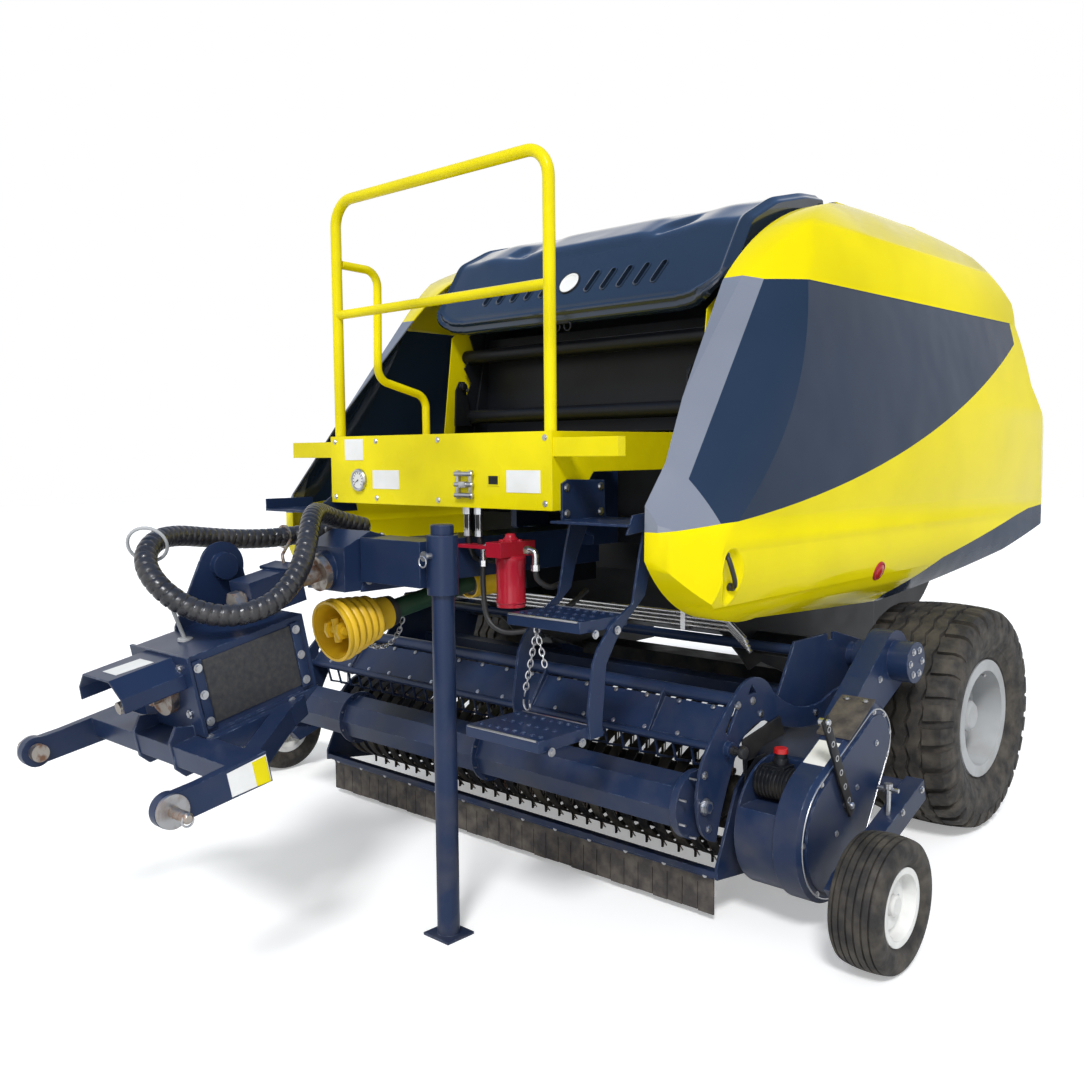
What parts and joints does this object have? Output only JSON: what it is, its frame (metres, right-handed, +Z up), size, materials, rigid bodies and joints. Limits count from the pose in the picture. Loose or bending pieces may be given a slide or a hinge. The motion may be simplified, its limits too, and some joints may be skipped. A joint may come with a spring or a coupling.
{
  "type": "round baler",
  "caption": "Trailed round baler with tined pickup, press roller, guard rails, hinged hood and side doors, tailgate and steering two-point headstock.",
  "frame": {"origin": "centre of the footprint box, on the ground", "axes": "+Z up, +X to the machine's left, -Y forward to the hitch; seen from above"},
  "size_m": [3.185, 4.4, 2.46],
  "materials": {
    "navy_paint": "satin",
    "yellow_paint": "gloss",
    "black_paint": "satin",
    "slate_gloss": "high gloss",
    "grey_gloss": "high gloss",
    "black_steel": "matt",
    "bare_steel": "rusty bare steel",
    "green_plastic": "matt",
    "yellow_plastic": "matt",
    "red_paint": "gloss",
    "pipe_steel": "bright zinc",
    "flap_rubber": "worn",
    "hose_sleeve": "spiral sleeve",
    "lamp_red": "clear",
    "tyre_rubber": "worn",
    "white_rim": "gloss",
    "grey_rim": "satin"
  },
  "bodies": {
    "chassis": {"axle": "navy_paint", "chassis": "navy_paint", "bale_chamber": "black_paint", "roof": "slate_gloss", "cheeks": "yellow_paint", "wrap_box": "black_paint", "drawbar": "navy_paint", "roll_shaft": "bare_steel", "cardan_tube": "green_plastic", "cardan_guards": "yellow_plastic", "gearbox": "black_paint", "platform": "yellow_paint", "rail": "yellow_paint", "handrail": "yellow_paint", "ladder": "navy_paint", "tray_right": "navy_paint", "oil_filter": "red_paint", "pipes": "pipe_steel"},
    "stand": {"stand": "navy_paint"},
    "swivel": {"swivel": "navy_paint", "hose_bundle": "hose_sleeve", "hose_guide": "bare_steel"},
    "headstock": {"headstock": "navy_paint", "link_pin_left": "bare_steel", "link_pin_right": "bare_steel", "input_stub": "bare_steel", "input_guard": "navy_paint"},
    "tailgate": {"tailgate": "black_paint", "lamp_bar": "navy_paint", "tail_lamps": "lamp_red"},
    "hood": {"hood": "slate_gloss"},
    "door_left": {"door_left": "yellow_paint", "door_glass_left": "slate_gloss", "door_pillar_left": "grey_gloss", "door_skirt_left": "slate_gloss"},
    "door_right": {"door_right": "yellow_paint", "door_glass_right": "slate_gloss", "door_pillar_right": "grey_gloss", "door_skirt_right": "slate_gloss"},
    "pickup": {"pickup_frame": "navy_paint", "bands": "black_steel", "chain_case": "navy_paint", "drive_arm": "navy_paint", "drive_clutch": "black_paint", "crop_flap": "flap_rubber", "gauge_arm_left": "navy_paint", "gauge_arm_right": "navy_paint"},
    "reel": {"reel": "black_steel"},
    "crop_guard": {"crop_guard": "navy_paint"},
    "press_roller": {"press_roller": "navy_paint"},
    "gauge_wheel_left": {"gauge_tyre_left": "tyre_rubber", "gauge_rim_left": "white_rim"},
    "gauge_wheel_right": {"gauge_tyre_right": "tyre_rubber", "gauge_rim_right": "white_rim"},
    "main_wheel_left": {"main_tyre_left": "tyre_rubber", "main_rim_left": "grey_rim"},
    "main_wheel_right": {"main_tyre_right": "tyre_rubber", "main_rim_right": "grey_rim"}
  },
  "joints": [
    {"name": "stand_slide", "type": "slide", "parent": "chassis", "child": "stand", "axis": [0, 0, 1], "range_m": [0, 0.45]},
    {"name": "hitch_roll", "type": "hinge", "parent": "chassis", "child": "swivel", "pos_m": [0, -1.4, 1.112], "axis": [0, -0.9781, -0.2079], "range_deg": [-15, 15]},
    {"name": "hitch_steer", "type": "hinge", "parent": "swivel", "child": "headstock", "pos_m": [0, -1.635, 1.06205], "axis": [0, -0.2079, 0.9781], "range_deg": [-40, 40]},
    {"name": "tailgate_lift", "type": "hinge", "parent": "chassis", "child": "tailgate", "pos_m": [0, 1.185, 2.305], "axis": [1, 0, 0], "range_deg": [0, 65]},
    {"name": "hood_lift", "type": "hinge", "parent": "chassis", "child": "hood", "pos_m": [0, 0.42, 2.425], "axis": [-1, 0, 0], "range_deg": [0, 50]},
    {"name": "door_left_lift", "type": "hinge", "parent": "chassis", "child": "door_left", "pos_m": [0.788, 0.765, 2.418], "axis": [0, -1, 0], "range_deg": [0, 70]},
    {"name": "door_right_lift", "type": "hinge", "parent": "chassis", "child": "door_right", "pos_m": [-0.788, 0.765, 2.418], "axis": [0, 1, 0], "range_deg": [0, 70]},
    {"name": "pickup_lift", "type": "hinge", "parent": "chassis", "child": "pickup", "pos_m": [0, 0.185, 0.74], "axis": [-1, 0, 0], "range_deg": [-2, 9]},
    {"name": "reel_spin", "type": "hinge", "parent": "pickup", "child": "reel", "pos_m": [0, -0.435, 0.32], "axis": [1, 0, 0], "continuous": true},
    {"name": "guard_lift", "type": "hinge", "parent": "pickup", "child": "crop_guard", "pos_m": [0, 0.165, 0.61], "axis": [-1, 0, 0], "range_deg": [0, 6]},
    {"name": "roller_spin", "type": "hinge", "parent": "crop_guard", "child": "press_roller", "pos_m": [0, -0.797, 0.425], "axis": [1, 0, 0], "continuous": true},
    {"name": "gauge_left_spin", "type": "hinge", "parent": "pickup", "child": "gauge_wheel_left", "pos_m": [1.515, -0.584, 0.1955], "axis": [1, 0, 0], "continuous": true},
    {"name": "gauge_right_spin", "type": "hinge", "parent": "pickup", "child": "gauge_wheel_right", "pos_m": [-1.515, -0.584, 0.1955], "axis": [1, 0, 0], "continuous": true},
    {"name": "main_left_spin", "type": "hinge", "parent": "chassis", "child": "main_wheel_left", "pos_m": [1.113, 0.765, 0.437], "axis": [1, 0, 0], "continuous": true},
    {"name": "main_right_spin", "type": "hinge", "parent": "chassis", "child": "main_wheel_right", "pos_m": [-1.113, 0.765, 0.437], "axis": [1, 0, 0], "continuous": true}
  ]
}
